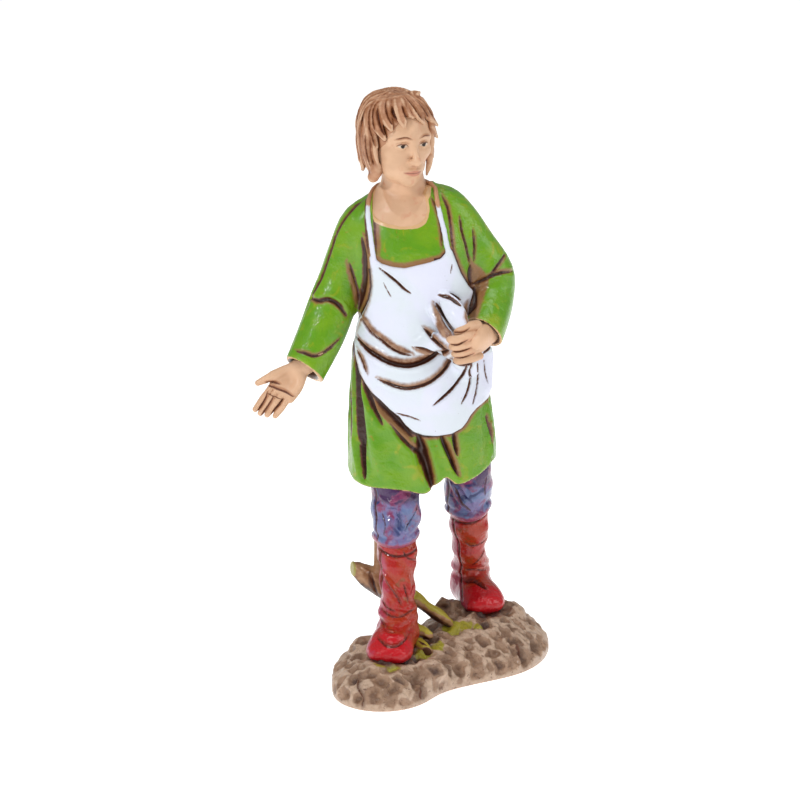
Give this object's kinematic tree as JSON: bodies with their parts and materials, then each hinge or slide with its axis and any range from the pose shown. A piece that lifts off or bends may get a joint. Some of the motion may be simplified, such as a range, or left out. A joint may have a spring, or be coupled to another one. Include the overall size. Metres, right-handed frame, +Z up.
{
  "type": "presepe figure",
  "caption": "Moulded and painted nativity figurine of a walking sower with a gathered apron, joined to a patch of stony earth with a fallen branch that it stands on.",
  "frame": {"origin": "on the flat underside, in the middle of the earth base", "axes": "+Z up from the underside to the crown, -Y the way the figure walks and faces, +X towards the figure's left side"},
  "size_m": [0.0597, 0.0527, 0.1195],
  "materials": {
    "painted_tunic": "green and white paint under gloss varnish, with a brown wash in the folds",
    "painted_legs": "blue trousers and red boots in mottled paint under gloss varnish",
    "painted_skin": "skin and hair in thin satin paint with a brown wash",
    "painted_earth": "taupe satin paint with dark pits and worn pale ridges, olive on the roots"
  },
  "bodies": {
    "root": {"sower_figure": "painted_tunic"}
  },
  "joints": []
}
